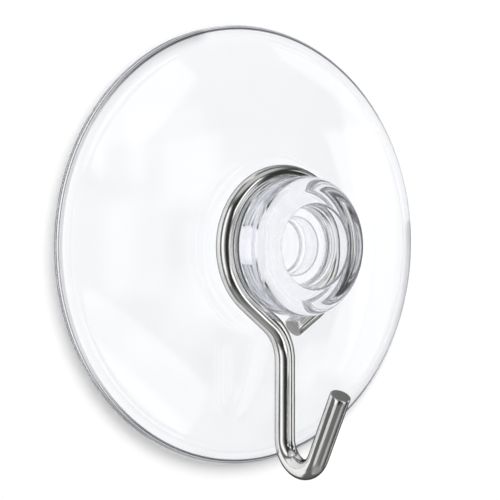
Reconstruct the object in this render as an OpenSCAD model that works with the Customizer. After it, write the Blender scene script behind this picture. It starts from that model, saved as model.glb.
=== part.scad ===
// Suction cup hook: a clear soft PVC cup with a grooved knob, and a bent
// steel wire hook whose loop swivels in the groove.
// Frame: the cup's rim lies on the wall in the plane Y = 0, its centre is the
// origin, the object stands out along -Y, and +Z is up.

/* [Suction disc] */
// Outer diameter of the disc where it touches the wall
disc_d = 60; // [52:0.5:70]
// Width of the flat sealing land at the rim
land_w = 1.4; // [1:0.1:2]
// Thickness of the disc's edge
edge_t = 0.92; // [0.8:0.01:1.2]
// Width of the flat lip that runs round the edge
lip_w = 2.2; // [1.6:0.1:3]
// Height of the dome above the wall where it meets the shoulder
dome_h = 5.3; // [4.8:0.05:5.4]
// Height of the hollow under the dome, at its centre
hollow_h = 4.4; // [3.4:0.05:4.5]

/* [Knob] */
// Diameter of the neck that the wire loop turns on
neck_d = 14.2; // [13.4:0.1:15.4]
// Diameter of the flat shoulder at the foot of the neck
shoulder_d = 21.6; // [20:0.1:24]
// Height of the shoulder above the wall
shoulder_h = 5.75; // [5.5:0.05:5.9]
// Height above the wall of the knob's underside
knob_back = 9.4; // [9.3:0.05:9.8]
// Height above the wall of the knob's front face
knob_front = 14.2; // [13.6:0.1:15]
// Diameter of the knob at its back edge
knob_d = 18.4; // [17.4:0.1:19.4]
// Amount by which the knob's diameter is smaller at the front
knob_draft = 0.16; // [0:0.02:0.6]
// Radius of the knob's rounded front edge
knob_round = 1.9; // [1:0.05:2.2]

/* [Socket in the knob] */
// Diameter of the wide bore at its mouth
bore_d = 10.84; // [10:0.02:11.4]
// Diameter of the wide bore at its floor
bore_floor_d = 10.06; // [9.4:0.02:10.4]
// Height above the wall of the wide bore's floor
bore_floor = 9.95; // [9.6:0.05:10.4]
// Diameter of the narrow bore at its mouth
pilot_d = 7.66; // [7:0.02:8.2]
// Diameter of the narrow bore at its floor
pilot_floor_d = 7.16; // [6.6:0.02:7.4]
// Height above the wall of the narrow bore's floor
pilot_floor = 6.4; // [6:0.05:7]

/* [Wire hook] */
// Diameter of the wire
wire_d = 2.7; // [2.4:0.05:2.8]
// Radius of the loop, to the middle of the wire
loop_r = 9.4; // [9.3:0.05:9.6]
// Distance of the loop and the shank from the wall
loop_y = 7.6; // [7.5:0.05:7.7]
// Angle on the loop, below the horizontal on the left, where the neck bend starts
leave_a = 51; // [46:1:56]
// Straight run between the loop and the neck bend
leave_l = 4.7; // [4:0.1:5.2]
// Radius of the bend that turns the loop into the shank
neck_r = 6.4; // [5.6:0.1:7]
// Straight run on the right of the loop
side_l = 0.8; // [0.4:0.1:1.2]
// Angle below the horizontal on the right where the tail leaves the loop
tail_a = 58; // [50:1:60]
// Straight length of the tail
tail_l = 4.2; // [3:0.1:4.4]
// Height of the start of the hook's bend, below the centre
shank_z = 25.5; // [22:0.5:32]
// Radius of the hook's bend
hook_r = 3.7; // [3:0.1:6]
// Lean of the hook's arm away from the wall, from the vertical
arm_a = 27; // [5:1:40]
// Straight length of the arm
arm_l = 9.6; // [6:0.1:14]

/* [Hidden] */
$fn = 96;
disc_r = disc_d / 2;
neck_rad = neck_d / 2;
edge_round = 0.6;
groove_round = 0.6;
underside_round = 1.1;
mouth_break = 0.25;
// at the wire's slanting joints
lap = 0.1;
thin = 0.01;

// Points of an arc, from angle a0 to a1 in n steps
function arc(cx, cy, r, a0, a1, n) =
    [for (i = [0 : n]) let (a = a0 + (a1 - a0) * i / n) [cx + r * cos(a), cy + r * sin(a)]];

// Front profile of the dome between the lip and the shoulder. The height
// falls from the shoulder in a curve that steepens towards the lip.
function dome_y(t) = dome_h - (dome_h - edge_t - 0.25) * (0.42 * t + 0.58 * t * t);
function hollow_y(t) = hollow_h * (1 - 0.88 * t * t - 0.12 * t * t * t * t);

// Half section of the cup: distance from the axis, then height above the wall
function cup_section() = let (
        lip_r = disc_r - lip_w,
        sh_r = shoulder_d / 2,
        hollow_r = disc_r - land_w,
        kf = (knob_d - knob_draft) / 2,
        kb = knob_d / 2)
    concat(
        // hollow, from the centre to the land
        [for (i = [0 : 28]) let (t = i / 28) [hollow_r * t, hollow_y(t)]],
        // edge of the disc
        [[disc_r, 0]],
        arc(disc_r - edge_round, edge_t - edge_round, edge_round, 0, 90, 8),
        // lip
        [[lip_r + 0.5, edge_t + 0.06]],
        // dome, from the lip to the shoulder
        [for (i = [26 : -1 : 2]) let (t = i / 26)
            [sh_r + 0.8 + (lip_r - sh_r - 0.8) * t, dome_y(t)]],
        // shoulder
        arc(sh_r + 0.3, shoulder_h - 1.6, 1.6, 58, 90, 5),
        arc(neck_rad + groove_round, shoulder_h + groove_round, groove_round, 270, 180, 4),
        // neck and the underside of the knob
        arc(neck_rad + underside_round, knob_back - underside_round, underside_round, 180, 90, 6),
        arc(kb - 0.3, knob_back + 0.3, 0.3, 270, 360, 5),
        // side and front edge
        arc(kf - knob_round, knob_front - knob_round, knob_round, 2, 90, 12),
        // front face, wide bore, narrow bore
        arc(bore_d / 2 + mouth_break, knob_front - mouth_break, mouth_break, 90, 180, 4),
        [[bore_floor_d / 2 + 0.06, bore_floor + 0.3], [bore_floor_d / 2 - 0.2, bore_floor]],
        arc(pilot_d / 2 + 0.15, bore_floor - 0.15, 0.15, 90, 180, 3),
        [[pilot_floor_d / 2 + 0.04, pilot_floor + 0.35], [pilot_floor_d / 2 - 0.3, pilot_floor],
         [0, pilot_floor]]);

module cup() {
    color([0.93, 0.95, 0.97, 0.5])
        rotate([90, 0, 0])
            rotate_extrude($fn = 180)
                polygon(cup_section());
}

// A bend of the wire: a torus arc in the plane of the loop, its centre at
// [x, z], from angle a over the sweep s, both seen from the front
module bend(x, z, r, a, s) {
    translate([x, -loop_y, z])
        rotate([90, 0, 0])
            rotate_extrude(angle = s, start = a)
                translate([r, 0]) circle(d = wire_d, $fn = 48);
}

// A straight of the wire in the plane of the loop, from [x, z], at heading h.
// At a slanting joint it is a hair thinner than the bends and runs a little
// way into them, at its start and, where both is true, at its end.
module straight(x, z, h, l, slant = false, both = false) {
    a = slant ? lap : 0;
    translate([x, -loop_y, z])
        rotate([0, 90 - h, 0])
            translate([0, 0, -a])
                cylinder(d = wire_d - (slant ? thin : 0), h = l + a + (both ? a : 0), $fn = 48);
}

module hook() {
    // left side: where the loop ends and the neck bend begins
    la = 180 + leave_a;
    lx = loop_r * cos(la);
    lz = loop_r * sin(la);
    lh = la + 90;
    nx = lx + leave_l * cos(lh);
    nz = lz + leave_l * sin(lh);
    // centre of the neck bend, and the shank's own place across
    cx = nx + neck_r * cos(lh - 90);
    cz = nz + neck_r * sin(lh - 90);
    sx = cx + neck_r;
    // right side: where the tail leaves the loop
    tx = loop_r * cos(-tail_a);
    tz = -side_l + loop_r * sin(-tail_a);
    sweep = 180 - arm_a;
    color("silver") {
        bend(0, 0, loop_r, 0, la);
        straight(lx, lz, lh, leave_l, true, true);
        bend(cx, cz, neck_r, 0, lh - 270);
        straight(sx, -shank_z, 90, cz + shank_z);
        // the right side of the loop and the tail
        straight(loop_r, -side_l, 90, side_l);
        bend(0, -side_l, loop_r, -tail_a, tail_a);
        straight(tx, tz, -tail_a - 90, tail_l, true);
        // the hook's bend and its arm, square to the wall
        translate([sx, -loop_y - hook_r, -shank_z])
            rotate([90, 0, 90])
                rotate_extrude(angle = -sweep, start = 0)
                    translate([hook_r, 0]) circle(d = wire_d, $fn = 48);
        translate([sx, -loop_y - hook_r + hook_r * cos(sweep), -shank_z - hook_r * sin(sweep)])
            rotate([arm_a, 0, 0])
                translate([0, 0, -lap])
                    cylinder(d = wire_d - thin, h = arm_l + lap, $fn = 48);
    }
}

cup();
hook();
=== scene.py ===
import math

import bpy
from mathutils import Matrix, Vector


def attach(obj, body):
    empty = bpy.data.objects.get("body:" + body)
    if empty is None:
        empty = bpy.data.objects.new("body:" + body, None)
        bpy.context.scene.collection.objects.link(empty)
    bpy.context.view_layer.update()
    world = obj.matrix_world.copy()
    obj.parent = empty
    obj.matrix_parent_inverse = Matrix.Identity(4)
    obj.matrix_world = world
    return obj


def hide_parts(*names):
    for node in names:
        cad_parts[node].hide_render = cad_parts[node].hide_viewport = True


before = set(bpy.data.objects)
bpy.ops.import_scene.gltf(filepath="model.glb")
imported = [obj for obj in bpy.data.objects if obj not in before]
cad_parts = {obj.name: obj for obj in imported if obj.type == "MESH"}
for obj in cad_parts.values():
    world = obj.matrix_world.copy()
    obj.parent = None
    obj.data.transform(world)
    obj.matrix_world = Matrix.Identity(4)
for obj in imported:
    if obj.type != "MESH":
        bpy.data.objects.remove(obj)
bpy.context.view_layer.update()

MM = 0.001
scene = bpy.context.scene

# ---------------------------------------------------------------- camera
# Left of the cup's axis and level with it; f is 1200 px on a 500 px frame.
az, el = math.radians(-36.3), math.radians(1.3)
back = Vector((math.sin(az) * math.cos(el), -math.cos(az) * math.cos(el), math.sin(el)))
right = Vector((math.cos(az), math.sin(az), 0.0))
up = back.cross(right)
cam_data = bpy.data.cameras.new("camera")
cam_data.sensor_width = 36.0
cam_data.lens = 36.0 * 1200.0 / 500.0
cam_data.clip_start, cam_data.clip_end = 0.01, 20.0
cam = bpy.data.objects.new("camera", cam_data)
scene.collection.objects.link(cam)
cam.location = back * 0.1654 - right * 0.000053 - up * 0.000687
cam.rotation_mode = "QUATERNION"
cam.rotation_quaternion = (-back).to_track_quat("-Z", "Y")
scene.camera = cam

scene.view_settings.view_transform = "Standard"
scene.view_settings.look = "None"
scene.cycles.max_bounces = 128
scene.cycles.transmission_bounces = 64
scene.cycles.glossy_bounces = 96
scene.cycles.transparent_max_bounces = 16
scene.cycles.blur_glossy = 0.0


# ---------------------------------------------------------------- node helpers
class Tree:
    """A node tree with short calls for what the materials use."""

    def __init__(self, tree):
        self.t = tree
        tree.nodes.clear()

    def add(self, kind, **values):
        n = self.t.nodes.new(kind)
        for k, v in values.items():
            setattr(n, k, v)
        return n

    def link(self, a, b):
        self.t.links.new(a, b)

    def put(self, socket, value):
        if hasattr(value, "is_output"):
            self.link(value, socket)
        else:
            socket.default_value = value

    def math(self, op, a, b=0.0, c=0.0, clamp=False):
        n = self.add("ShaderNodeMath", operation=op, use_clamp=clamp)
        for i, v in enumerate((a, b, c)):
            self.put(n.inputs[i], v)
        return n.outputs[0]

    def dot(self, a, v):
        n = self.add("ShaderNodeVectorMath", operation="DOT_PRODUCT")
        self.put(n.inputs[0], a)
        self.put(n.inputs[1], v)
        return n.outputs["Value"]

    def ramp(self, x, lo, hi, a=0.0, b=1.0, smooth=True):
        n = self.add("ShaderNodeMapRange", interpolation_type="SMOOTHSTEP" if smooth else "LINEAR")
        n.clamp = True
        self.put(n.inputs["Value"], x)
        self.put(n.inputs["From Min"], lo)
        self.put(n.inputs["From Max"], hi)
        self.put(n.inputs["To Min"], a)
        self.put(n.inputs["To Max"], b)
        return n.outputs["Result"]

    def noise(self, vec, scale, detail=2.0, rough=0.5, dist=0.0):
        n = self.add("ShaderNodeTexNoise")
        self.put(n.inputs["Vector"], vec)
        n.inputs["Scale"].default_value = scale
        n.inputs["Detail"].default_value = detail
        n.inputs["Roughness"].default_value = rough
        n.inputs["Distortion"].default_value = dist
        return n.outputs["Fac"]

    def scaled(self, vec, s):
        n = self.add("ShaderNodeVectorMath", operation="MULTIPLY")
        self.put(n.inputs[0], vec)
        n.inputs[1].default_value = s
        return n.outputs["Vector"]

    def bump(self, height, strength, distance, normal=None):
        n = self.add("ShaderNodeBump")
        n.inputs["Strength"].default_value = strength
        n.inputs["Distance"].default_value = distance
        self.put(n.inputs["Height"], height)
        if normal is not None:
            self.link(normal, n.inputs["Normal"])
        return n.outputs["Normal"]


def material(name):
    m = bpy.data.materials.new(name)
    m.use_nodes = True
    t = Tree(m.node_tree)
    return m, t, t.add("ShaderNodeOutputMaterial")


# ---------------------------------------------------------------- materials
def clear_pvc():
    m, t, out = material("clear_pvc")
    p = t.add("ShaderNodeBsdfPrincipled")
    p.inputs["Transmission Weight"].default_value = 1.0
    p.inputs["IOR"].default_value = 1.53
    where = t.add("ShaderNodeTexCoord").outputs["Object"]
    # painted shade: dark slate rings in the base colour near the edge stand in for the dark lines seen through the
    # rim
    sep = t.add("ShaderNodeSeparateXYZ")
    t.link(where, sep.inputs[0])
    r = t.math("SQRT", t.math("ADD", t.math("MULTIPLY", sep.outputs[0], sep.outputs[0]), t.math("MULTIPLY", sep.outputs[2], sep.outputs[2])))
    # in thin rings, by the angle round the edge's rounding in degrees
    height = t.math("MULTIPLY", sep.outputs[1], -1.0)
    turn = t.math("ARCTAN2", t.math("SUBTRACT", height, 0.00022), t.math("SUBTRACT", r, 0.02926))
    turn = t.math("MULTIPLY", turn, 180 / math.pi)
    # the widest ring of painted shade is darker at the top and the bottom of the disc
    shade_top_bottom = t.ramp(t.math("ABSOLUTE", sep.outputs[2]), 0.012, 0.024, 0.40, 1.0)

    def band(x, lo, hi, soft):
        return t.math("MULTIPLY", t.ramp(x, lo - soft, lo + soft), t.ramp(x, hi - soft, hi + soft, 1.0, 0.0))

    # one ring of painted shade grows darker towards the bottom of the disc
    shade_low = t.ramp(sep.outputs[2], -0.010, -0.022, 0.0, 0.85)
    rings = 0.0
    for lo, hi, soft, shade_depth in ((-22, -5, 3, 0.7), (13, 26, 3, 1.0), (26, 41, 3, shade_low), (41, 52, 3, 0.95), (57, 84, 5, shade_top_bottom)):
        rings = t.math("ADD", rings, t.math("MULTIPLY", band(turn, lo, hi, soft), shade_depth))
    rings = t.math("MULTIPLY", rings, t.ramp(r, 0.0290, 0.0292))
    # painted shade too: dark rings at the mouths of both bores
    for r0, r1, h0, h1, shade_depth in ((0.00546, 0.00560, 0.0138, 0.0143, 0.75), (0.00384, 0.00396, 0.0097, 0.0101, 0.6)):
        ring = t.math("MULTIPLY", band(r, r0, r1, 0.00003), band(height, h0, h1, 0.00005))
        rings = t.math("ADD", rings, t.math("MULTIPLY", ring, shade_depth))
    # painted shade: the rings pull the clear base colour towards near black
    edge = t.add("ShaderNodeMix", data_type="RGBA")
    t.put(edge.inputs["Factor"], t.math("MULTIPLY", rings, 1.0, clamp=True))
    edge.inputs["A"].default_value = (0.985, 0.99, 1.0, 1.0)
    edge.inputs["B"].default_value = (0.03, 0.032, 0.042, 1.0)
    t.link(edge.outputs["Result"], p.inputs["Base Color"])
    # the skin of a soft moulding: long shallow waves, and a little less gloss in places
    waves = t.noise(where, 130.0, 1.0, 0.45)
    t.link(t.bump(waves, 0.25, 0.00004), p.inputs["Normal"])
    haze = t.noise(where, 260.0, 3.0, 0.6)
    t.link(t.ramp(haze, 0.42, 0.75, 0.008, 0.03), p.inputs["Roughness"])
    t.link(p.outputs[0], out.inputs["Surface"])
    v = t.add("ShaderNodeVolumeAbsorption")
    v.inputs["Color"].default_value = (0.80, 0.812, 0.865, 1.0)
    v.inputs["Density"].default_value = 38.0
    t.link(v.outputs[0], out.inputs["Volume"])
    return m


def steel():
    m, t, out = material("steel_wire")
    p = t.add("ShaderNodeBsdfPrincipled")
    p.inputs["Metallic"].default_value = 1.0
    p.inputs["Specular Tint"].default_value = (0.03, 0.03, 0.035, 1.0)
    # the straightened wire's own coordinates in mm: across, across, along
    own = t.add("ShaderNodeAttribute", attribute_name="wire_mm").outputs["Vector"]
    draw = t.noise(t.scaled(own, (5.0, 5.0, 0.12)), 1.0, 4.0, 0.65)
    fine = t.noise(t.scaled(own, (22.0, 22.0, 0.5)), 1.0, 2.0, 0.6)
    cloud = t.noise(t.scaled(own, (0.8, 0.8, 0.25)), 1.0, 2.0, 0.5)
    mix = t.add("ShaderNodeMix", data_type="RGBA")
    t.put(mix.inputs["Factor"], t.ramp(cloud, 0.3, 0.7))
    mix.inputs["A"].default_value = (0.82, 0.82, 0.80, 1.0)
    mix.inputs["B"].default_value = (0.88, 0.88, 0.87, 1.0)
    t.link(mix.outputs["Result"], p.inputs["Base Color"])
    t.link(t.ramp(draw, 0.3, 0.72, 0.10, 0.20), p.inputs["Roughness"])
    lines = t.bump(draw, 0.20, 0.000012)
    t.link(t.bump(fine, 0.15, 0.000004, lines), p.inputs["Normal"])
    t.link(p.outputs[0], out.inputs["Surface"])
    return m


def cut_end():
    m, t, out = material("steel_cut_end")
    p = t.add("ShaderNodeBsdfPrincipled")
    p.inputs["Metallic"].default_value = 1.0
    own = t.add("ShaderNodeAttribute", attribute_name="wire_mm").outputs["Vector"]
    saw = t.noise(t.scaled(own, (14.0, 1.2, 1.0)), 1.0, 3.0, 0.6)
    mix = t.add("ShaderNodeMix", data_type="RGBA")
    t.put(mix.inputs["Factor"], t.ramp(saw, 0.35, 0.7))
    mix.inputs["A"].default_value = (0.36, 0.36, 0.35, 1.0)
    mix.inputs["B"].default_value = (0.52, 0.52, 0.50, 1.0)
    t.link(mix.outputs["Result"], p.inputs["Base Color"])
    t.link(t.ramp(saw, 0.3, 0.7, 0.42, 0.60), p.inputs["Roughness"])
    t.link(t.bump(saw, 0.5, 0.00003), p.inputs["Normal"])
    t.link(p.outputs[0], out.inputs["Surface"])
    return m


# ---------------------------------------------------------------- cup
def arc(cx, cy, r, a0, a1, n):
    """Points and tangents of an arc, in degrees."""
    sign = 1.0 if a1 > a0 else -1.0
    rows = []
    for i in range(n + 1):
        a = math.radians(a0 + (a1 - a0) * i / n)
        rows.append(((cx + r * math.cos(a), cy + r * math.sin(a)), (-sign * math.sin(a), sign * math.cos(a))))
    return rows


def line(a, b, n=1):
    dx, dy = b[0] - a[0], b[1] - a[1]
    l = math.hypot(dx, dy)
    return [((a[0] + dx * i / n, a[1] + dy * i / n), (dx / l, dy / l)) for i in range(n + 1)]


def curve(f, n, t0=0.0, t1=1.0):
    rows = []
    s = 1.0 if t1 > t0 else -1.0
    for i in range(n + 1):
        t = t0 + (t1 - t0) * i / n
        a, b = f(t - 1e-4 * s), f(t + 1e-4 * s)
        dx, dy = b[0] - a[0], b[1] - a[1]
        l = math.hypot(dx, dy)
        rows.append((f(t), (dx / l, dy / l)))
    return rows


def fillet(points, n=6):
    """A path of straight runs through (r, h, radius) points, its corners rounded."""
    rows = []
    for i, (x, y, r) in enumerate(points):
        if i in (0, len(points) - 1) or r == 0:
            rows.append((x, y))
            continue
        ax, ay = points[i - 1][0] - x, points[i - 1][1] - y
        bx, by = points[i + 1][0] - x, points[i + 1][1] - y
        la, lb = math.hypot(ax, ay), math.hypot(bx, by)
        ax, ay, bx, by = ax / la, ay / la, bx / lb, by / lb
        half = math.acos(max(-1, min(1, ax * bx + ay * by))) / 2
        back_off = r / math.tan(half)
        mx, my = ax + bx, ay + by
        lm = math.hypot(mx, my)
        cx, cy = x + mx / lm * r / math.sin(half), y + my / lm * r / math.sin(half)
        a0 = math.degrees(math.atan2(y + ay * back_off - cy, x + ax * back_off - cx))
        a1 = math.degrees(math.atan2(y + by * back_off - cy, x + bx * back_off - cx))
        while a1 - a0 > 180:
            a1 -= 360
        while a1 - a0 < -180:
            a1 += 360
        rows.append(arc(cx, cy, r, a0, a1, n))
    out = []
    for i, row in enumerate(rows):
        here = row[0][0] if isinstance(row, list) else row
        if i:
            last = rows[i - 1]
            a = last[-1][0] if isinstance(last, list) else last
            l = math.hypot(here[0] - a[0], here[1] - a[1])
            if l > 1e-6:
                out += line(a, here, max(1, int(l / 0.45)))
        if isinstance(row, list):
            out += row
    return out


DISC_R, LIP_R, SH_R = 30.0, 27.8, 10.8


def dome(t):
    """Front of the dome between the shoulder (t = 0) and the lip (t = 1)."""
    return (SH_R + 0.8 + (LIP_R - SH_R - 0.8) * t, 5.3 - (5.3 - 0.92 - 0.25) * (0.42 * t + 0.58 * t * t))


def hollow(t):
    return (28.6 * t, 4.4 * (1 - 0.88 * t * t - 0.12 * t ** 4))


def cup_profile():
    """Half section in mm as (point, tangent) rows, from the middle of the hollow round to the middle of the bore."""
    hol = curve(hollow, 64, 0.0, 0.985)
    rows = list(hol)
    end = hol[-1][0]
    dm = curve(dome, 60, 0.985, 0.077)
    foot = dm[-1][0]
    start = dm[0][0]
    d0 = dm[0][1]
    # land, edge and lip
    rows += fillet([
        (end[0], end[1], 0),
        (28.62, 0.0, 0.25),
        (30.0, 0.0, 0.08),
        (29.98, 0.93, 0.72),
        (28.1, 0.985, 1.6),
        (start[0], start[1], 0)], 8)
    rows += dm
    # shoulder, groove and knob
    rows += fillet([
        (foot[0], foot[1], 0),
        (12.45, 5.215, 1.0),
        (11.50, 5.75, 1.4),
        (7.1, 5.75, 0.6),
        (7.1, 9.4, 1.1),
        (9.2, 9.4, 0.3),
        (9.12, 14.2, 1.9),
        (5.44, 14.2, 0.28),
        (5.08, 9.95, 0.25),
        (3.85, 9.95, 0.15),
        (3.60, 6.4, 0.35),
        (0.0, 6.4, 0)], 8)
    # merge points that fall together
    merged = [rows[0]]
    for p, t in rows[1:]:
        q, s = merged[-1]
        if math.hypot(p[0] - q[0], p[1] - q[1]) < 1e-4:
            tx, ty = s[0] + t[0], s[1] + t[1]
            l = math.hypot(tx, ty) or 1.0
            merged[-1] = (q, (tx / l, ty / l))
        else:
            merged.append((p, t))
    return merged


def revolve(name, rows, n, mat):
    """Turns (r, h) rows about the cup's axis; h is the distance in front of the wall."""
    verts, faces, normals = [], [], []
    rings = []
    for (r, h), (tx, ty) in rows:
        # outward normal of the section, which runs anticlockwise in (r, h)
        nr, nh = ty, -tx
        if r < 1e-6:
            rings.append([len(verts)])
            verts.append((0.0, -h * MM, 0.0))
            normals.append((0.0, -nh, 0.0))
            continue
        ring = []
        for k in range(n):
            a = 2 * math.pi * k / n
            c, s = math.cos(a), math.sin(a)
            ring.append(len(verts))
            verts.append((r * c * MM, -h * MM, r * s * MM))
            normals.append((nr * c, -nh, nr * s))
        rings.append(ring)
    for a, b in zip(rings, rings[1:]):
        for k in range(n):
            l = (k + 1) % n
            if len(a) == 1:
                faces.append((a[0], b[l], b[k]))
            elif len(b) == 1:
                faces.append((a[k], a[l], b[0]))
            else:
                faces.append((a[k], a[l], b[l], b[k]))
    me = bpy.data.meshes.new(name)
    me.from_pydata(verts, [], faces)
    me.validate()
    me.materials.append(mat)
    me.shade_smooth()
    me.normals_split_custom_set_from_vertices(normals)
    ob = bpy.data.objects.new(name, me)
    scene.collection.objects.link(ob)
    return ob


# ---------------------------------------------------------------- wire
WIRE_R, LOOP_R, LOOP_Y = 1.35, 9.4, -7.6


def wire_path():
    """The wire's middle line in mm as (point, tangent) rows, from the end of the tail to the end of the arm."""
    rows = []

    def straight(a, b, step=0.9):
        d = b - a
        n = max(1, int(round(d.length / step)))
        for i in range(n + 1):
            rows.append((a + d * (i / n), d.normalized()))

    def bend(c, u, v, r, a0, a1, step=4.0):
        n = max(2, int(math.ceil(abs(a1 - a0) / step)))
        s = 1.0 if a1 > a0 else -1.0
        for i in range(n + 1):
            a = math.radians(a0 + (a1 - a0) * i / n)
            rows.append((c + (u * math.cos(a) + v * math.sin(a)) * r, (v * math.cos(a) - u * math.sin(a)) * s))

    X, Y, Z = Vector((1, 0, 0)), Vector((0, 1, 0)), Vector((0, 0, 1))
    at = lambda x, z: Vector((x, LOOP_Y, z))
    rad = math.radians
    t = rad(-58)
    tail = at(LOOP_R * math.cos(t), -0.8 + LOOP_R * math.sin(t))
    tail_dir = Vector((math.sin(t), 0, -math.cos(t)))
    straight(tail + tail_dir * 4.2, tail)
    bend(at(0, -0.8), X, Z, LOOP_R, -58, 0)
    straight(at(LOOP_R, -0.8), at(LOOP_R, 0))
    bend(at(0, 0), X, Z, LOOP_R, 0, 231)
    la = rad(231)
    p = at(LOOP_R * math.cos(la), LOOP_R * math.sin(la))
    h = Vector((-math.sin(la), 0, math.cos(la)))
    q = p + h * 4.7
    straight(p, q)
    c = q + Vector((h.z, 0, -h.x)) * 6.4
    bend(c, X, Z, 6.4, 51, 0)
    sx = c.x + 6.4
    straight(at(sx, c.z), at(sx, -25.5))
    j = Vector((sx, LOOP_Y - 3.7, -25.5))
    bend(j, Y, -Z, 3.7, 0, 153)
    b = rad(153)
    e = j + (Y * math.cos(b) - Z * math.sin(b)) * 3.7
    d = (-Z * math.cos(b) - Y * math.sin(b))
    straight(e, e + d * 9.6)
    merged = [rows[0]]
    for r in rows[1:]:
        if (r[0] - merged[-1][0]).length > 1e-4:
            merged.append(r)
    return merged


def sweep(name, rows, radius, sides, mats, edge=0.13):
    """A round wire along the rows, with flat cut ends and broken edges. The second material is on the cut faces."""
    # the broken edges, as extra rings near both ends
    def ends(p, t, sign):
        out = []
        for k in range(4):
            a = math.radians(90 * k / 3)
            out.append((p - t * (sign * edge * (1 - math.sin(a))), t, radius - edge * (1 - math.cos(a))))
        return out

    p0, t0 = rows[0]
    p1, t1 = rows[-1]
    rings = list(reversed(ends(p0, t0, -1.0)))
    rings += [(p, t, radius) for p, t in rows[1:-1]]
    rings += ends(p1, t1, 1.0)
    # a frame that doesn't twist
    side = Vector((0, 1, 0))
    side = (side - t0 * side.dot(t0)).normalized()
    frames, prev = [], t0
    for p, t, r in rings:
        q = prev.rotation_difference(t)
        side = q @ side
        side = (side - t * side.dot(t)).normalized()
        frames.append((p, t, side.copy(), t.cross(side), r))
        prev = t
    verts, own, faces, slots = [], [], [], []
    s = 0.0
    for i, (p, t, u, v, r) in enumerate(frames):
        if i:
            s += (p - frames[i - 1][0]).length
        for k in range(sides):
            a = 2 * math.pi * k / sides
            w = (u * math.cos(a) + v * math.sin(a)) * r
            verts.append((p + w) * MM)
            own.append((r * math.cos(a), r * math.sin(a), s))
    for i in range(len(frames) - 1):
        for k in range(sides):
            l = (k + 1) % sides
            a, b = i * sides, (i + 1) * sides
            faces.append((a + k, a + l, b + l, b + k))
            slots.append(0)
    # the cut faces: rings down to the middle, so the marks lie on a true mesh
    for base, (p, t, u, v, r), flip, s_end in ((0, frames[0], False, 0.0), ((len(frames) - 1) * sides, frames[-1], True, s)):
        last = [base + k for k in range(sides)]
        for f in (0.75, 0.5, 0.25):
            ring = []
            for k in range(sides):
                a = 2 * math.pi * k / sides
                ring.append(len(verts))
                verts.append((p + (u * math.cos(a) + v * math.sin(a)) * r * f) * MM)
                own.append((r * f * math.cos(a), r * f * math.sin(a), s_end))
            for k in range(sides):
                l = (k + 1) % sides
                faces.append((last[k], last[l], ring[l], ring[k]) if flip else (last[l], last[k], ring[k], ring[l]))
                slots.append(1)
            last = ring
        c = len(verts)
        verts.append(p * MM)
        own.append((0.0, 0.0, s_end))
        for k in range(sides):
            l = (k + 1) % sides
            faces.append((last[k], last[l], c) if flip else (last[l], last[k], c))
            slots.append(1)
    me = bpy.data.meshes.new(name)
    me.from_pydata([tuple(v) for v in verts], [], faces)
    for m in mats:
        me.materials.append(m)
    me.polygons.foreach_set("material_index", slots)
    at = me.attributes.new("wire_mm", "FLOAT_VECTOR", "POINT")
    at.data.foreach_set("vector", [x for o in own for x in o])
    me.shade_smooth()
    # the cut face keeps its own flat normal
    for poly in me.polygons:
        if poly.material_index == 1:
            poly.use_smooth = False
    ob = bpy.data.objects.new(name, me)
    scene.collection.objects.link(ob)
    return ob


pvc = clear_pvc()
cup = revolve("suction_cup", cup_profile(), 240, pvc)
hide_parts("cup")
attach(cup, "cup")

wire = sweep("wire_hook", wire_path(), WIRE_R, 64, (steel(), cut_end()))
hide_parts("hook")
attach(wire, "hook")


# ---------------------------------------------------------------- stage
def one_sided(name, colour, rough, glow=0.0):
    """A matt backdrop, softly lit from within, that is clear from behind, so the object's back can be seen."""
    m, t, out = material(name)
    d = t.add("ShaderNodeBsdfDiffuse")
    d.inputs["Color"].default_value = colour
    d.inputs["Roughness"].default_value = rough
    front = d.outputs[0]
    if glow:
        e = t.add("ShaderNodeEmission")
        e.inputs["Strength"].default_value = glow
        both = t.add("ShaderNodeAddShader")
        t.link(front, both.inputs[0])
        t.link(e.outputs[0], both.inputs[1])
        # painted reflection: to mirror-like bounces only the backdrop glows grey, with a soft white band painted down
        # the middle
        sep = t.add("ShaderNodeSeparateXYZ")
        t.link(t.add("ShaderNodeTexCoord").outputs["Object"], sep.inputs[0])
        low = t.ramp(sep.outputs[2], -0.020, -0.028)
        side = t.math("ADD", sep.outputs[0], t.math("MULTIPLY", low, 0.006))
        band = t.math("MULTIPLY", t.ramp(side, -0.0135, -0.0105), t.ramp(sep.outputs[0], -0.0045, -0.0015, 1.0, 0.0))
        band = t.math("MULTIPLY", band, t.ramp(sep.outputs[2], -0.050, -0.043))
        grey = t.add("ShaderNodeEmission")
        t.link(t.ramp(band, 0.0, 1.0, 0.14, 1.05, False), grey.inputs["Strength"])
        path = t.add("ShaderNodeLightPath")
        pick = t.add("ShaderNodeMixShader")
        away = t.math("ADD", path.outputs["Is Transmission Ray"], path.outputs["Diffuse Depth"])
        t.link(t.math("SUBTRACT", path.outputs["Is Glossy Ray"], away, clamp=True), pick.inputs[0])
        t.link(both.outputs[0], pick.inputs[1])
        t.link(grey.outputs[0], pick.inputs[2])
        front = pick.outputs[0]
    clear = t.add("ShaderNodeBsdfTransparent")
    mix = t.add("ShaderNodeMixShader")
    t.link(t.add("ShaderNodeNewGeometry").outputs["Backfacing"], mix.inputs[0])
    t.link(front, mix.inputs[1])
    t.link(clear.outputs[0], mix.inputs[2])
    t.link(mix.outputs[0], out.inputs["Surface"])
    return m


def sheet(name, corners, mat):
    me = bpy.data.meshes.new(name)
    me.from_pydata(corners, [], [(0, 1, 2, 3)])
    me.materials.append(mat)
    ob = bpy.data.objects.new(name, me)
    scene.collection.objects.link(ob)
    return ob


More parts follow.
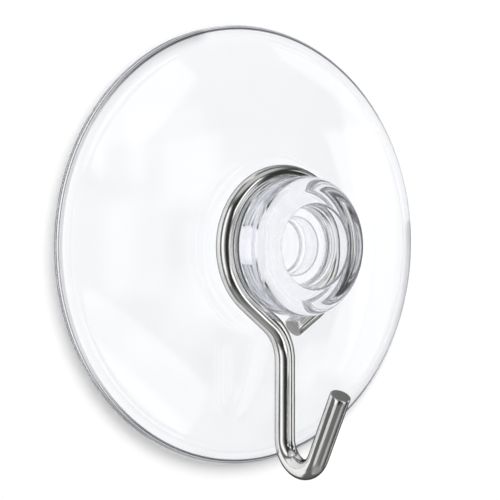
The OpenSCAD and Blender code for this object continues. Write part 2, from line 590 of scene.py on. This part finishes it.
WALL_Y, FLOOR_Z = 0.00005, -0.16
wall = sheet("wall", [(-1.2, WALL_Y, FLOOR_Z), (1.2, WALL_Y, FLOOR_Z), (1.2, WALL_Y, 1.2), (-1.2, WALL_Y, 1.2)],
      one_sided("wall_white", (0.90, 0.90, 0.90, 1.0), 0.0, 0.12))
floor = sheet("floor", [(-1.2, WALL_Y, FLOOR_Z), (-1.2, -1.6, FLOOR_Z), (1.2, -1.6, FLOOR_Z), (1.2, WALL_Y, FLOOR_Z)],
              one_sided("floor_pale", (0.84, 0.84, 0.83, 1.0), 0.0))
# gloss shows the studio's soft boxes below the horizon too, as if the floor were glass
floor.visible_glossy = False
floor.visible_transmission = False


# ---------------------------------------------------------------- light
def studio():
    """Soft boxes and dark cards far off, as directions in the world's shader."""
    world = bpy.data.worlds.new("studio")
    scene.world = world
    world.use_nodes = True
    t = Tree(world.node_tree)
    out = t.add("ShaderNodeOutputWorld")
    d = t.add("ShaderNodeTexCoord").outputs["Generated"]
    sep = t.add("ShaderNodeSeparateXYZ")
    t.link(d, sep.inputs[0])
    x, y, z = sep.outputs
    # azimuth in degrees: 0 is in front of the wall, positive to the right
    azi = t.math("MULTIPLY", t.math("ARCTAN2", x, t.math("MULTIPLY", y, -1.0)), 180 / math.pi)
    ele = t.math("MULTIPLY", t.math("ARCSINE", z), 180 / math.pi)

    def box(a0, a1, e0, e1, soft):
        """1 inside the window of directions, 0 outside."""
        sides = t.math("MULTIPLY", t.ramp(azi, a0 - soft, a0 + soft), t.ramp(azi, a1 - soft, a1 + soft, 1.0, 0.0))
        ends = t.math("MULTIPLY", t.ramp(ele, e0 - soft, e0 + soft), t.ramp(ele, e1 - soft, e1 + soft, 1.0, 0.0))
        return t.math("MULTIPLY", sides, ends)

    def toward(level, mask, value):
        """level where mask is 0, value where it is 1."""
        n = t.add("ShaderNodeMix", data_type="FLOAT")
        t.put(n.inputs["Factor"], mask)
        t.put(n.inputs["A"], level)
        n.inputs["B"].default_value = value
        return n.outputs["Result"]

    def slab(a, e, turn, half_a, half_e, soft):
        """1 inside a window that is turned by some degrees about its middle (a, e)."""
        c, k = math.cos(math.radians(turn)), math.sin(math.radians(turn))
        da, de = t.math("SUBTRACT", azi, a), t.math("SUBTRACT", ele, e)
        u = t.math("ABSOLUTE", t.math("ADD", t.math("MULTIPLY", da, c), t.math("MULTIPLY", de, k)))
        v = t.math("ABSOLUTE", t.math("SUBTRACT", t.math("MULTIPLY", de, c), t.math("MULTIPLY", da, k)))
        return t.math("MULTIPLY", t.ramp(u, half_a - soft, half_a + soft, 1.0, 0.0), t.ramp(v, half_e - soft, half_e + soft, 1.0, 0.0))

    level = t.ramp(ele, -58.0, -40.0, 0.34, 0.03)
    level = toward(level, t.ramp(ele, 46.0, 64.0), 0.60)
    # far left: a tall soft box with a grey edge
    level = toward(level, box(-64, -48, -30, 36, 4), 0.30)
    level = toward(level, box(-98, -63, -35, 45, 4), 1.15)
    level = toward(level, box(-104, -66, -47, -35, 3), 0.80)
    # in front, past the dark studio behind the camera: a broad window seen through a frame
    level = toward(level, slab(4, 31, 34, 20, 6.5, 1.6), 1.60)
    level = toward(level, box(-8, 4, 14, 23, 2), 0.85)
    level = toward(level, box(9, 26, 6, 22, 2), 0.85)
    level = toward(level, box(-8, 10, -12, 9, 2.5), 0.95)
    level = toward(level, box(9, 24, -22, -6, 2.5), 0.55)
    level = toward(level, slab(5, -29, -29, 25, 7.5, 1.6), 1.60)
    level = toward(level, box(26, 50, -46, -30, 3), 0.50)
    level = toward(level, box(19, 37, -14, 4, 2.5), 1.10)
    # low: streaks on the hook's arm
    level = toward(level, box(-46, -2, -64, -45, 5), 0.16)
    level = toward(level, box(6, 36, -62, -49, 3), 0.50)
    level = toward(level, box(50, 77, -58, -40, 4), 0.12)
    # right: beyond a dark card a tall soft box in two parts, with a slanted one above it
    level = toward(level, box(57, 70, -24, 19, 1.6), 1.30)
    level = toward(level, box(70, 84, -24, 19, 2.5), 0.85)
    level = toward(level, box(49, 58, -29, -18, 2), 1.00)
    level = toward(level, slab(69, 31, -38, 14, 4.5, 1.6), 1.10)
    level = toward(level, box(86, 120, -40, 42, 3), 1.20)
    # beside the wall on the left
    level = toward(level, t.math("MULTIPLY", t.ramp(azi, -118.0, -124.0), t.ramp(azi, -156.0, -150.0)), 1.2)
    ray = t.add("ShaderNodeLightPath")
    bg = t.add("ShaderNodeBackground")
    bg.inputs["Color"].default_value = (1.0, 1.0, 1.0, 1.0)
    t.link(level, bg.inputs["Strength"])
    # the matt backdrop gets the room's plain light, behind the clear plastic too
    room = t.add("ShaderNodeBackground")
    room.inputs["Color"].default_value = (1.0, 1.0, 1.0, 1.0)
    room.inputs["Strength"].default_value = 0.32
    plain = t.add("ShaderNodeBackground")
    plain.inputs["Color"].default_value = (0.93, 0.935, 0.94, 1.0)
    plain.inputs["Strength"].default_value = 1.0
    matt = t.add("ShaderNodeMixShader")
    t.link(t.math("GREATER_THAN", ray.outputs["Diffuse Depth"], 0.5), matt.inputs[0])
    t.link(bg.outputs[0], matt.inputs[1])
    t.link(room.outputs[0], matt.inputs[2])
    mix = t.add("ShaderNodeMixShader")
    t.link(ray.outputs["Is Camera Ray"], mix.inputs[0])
    t.link(matt.outputs[0], mix.inputs[1])
    t.link(plain.outputs[0], mix.inputs[2])
    t.link(mix.outputs[0], out.inputs["Surface"])


studio()


def key():
    """A soft box above and a little to the right that lights the backdrop only. A low flag round the rim's lower left throws its soft shadow."""
    light = bpy.data.lights.new("key", "AREA")
    light.shape = "RECTANGLE"
    light.size, light.size_y = 0.55, 0.55
    light.energy = 3.32
    ob = bpy.data.objects.new("key", light)
    scene.collection.objects.link(ob)
    ob.location = (0.15, -0.5, 0.325)
    ob.rotation_euler = (math.radians(90), 0, 0)
    ob.visible_camera = False
    ob.visible_glossy = False
    ob.visible_transmission = False
    lit = bpy.data.collections.new("key_lights")
    lit.objects.link(wall)
    lit.objects.link(floor)
    ob.light_linking.receiver_collection = lit
    flags = bpy.data.collections.new("key_flags")

    def flag(name, verts, faces):
        me = bpy.data.meshes.new(name)
        me.from_pydata(verts, [], faces)
        f = bpy.data.objects.new(name, me)
        scene.collection.objects.link(f)
        for ray in ("camera", "diffuse", "glossy", "transmission", "volume_scatter"):
            setattr(f, "visible_" + ray, False)
        flags.objects.link(f)
        return f

    n, r, h = 120, 0.0299, 0.0022
    angles = [math.radians(105 + 262 * k / n) for k in range(n + 1)]
    flag("flag_rim", [(r * math.cos(a), -y, r * math.sin(a)) for a in angles for y in (0.0, h)],
         [(2 * k, 2 * k + 2, 2 * k + 3, 2 * k + 1) for k in range(n)])
    ob.light_linking.blocker_collection = flags


key()
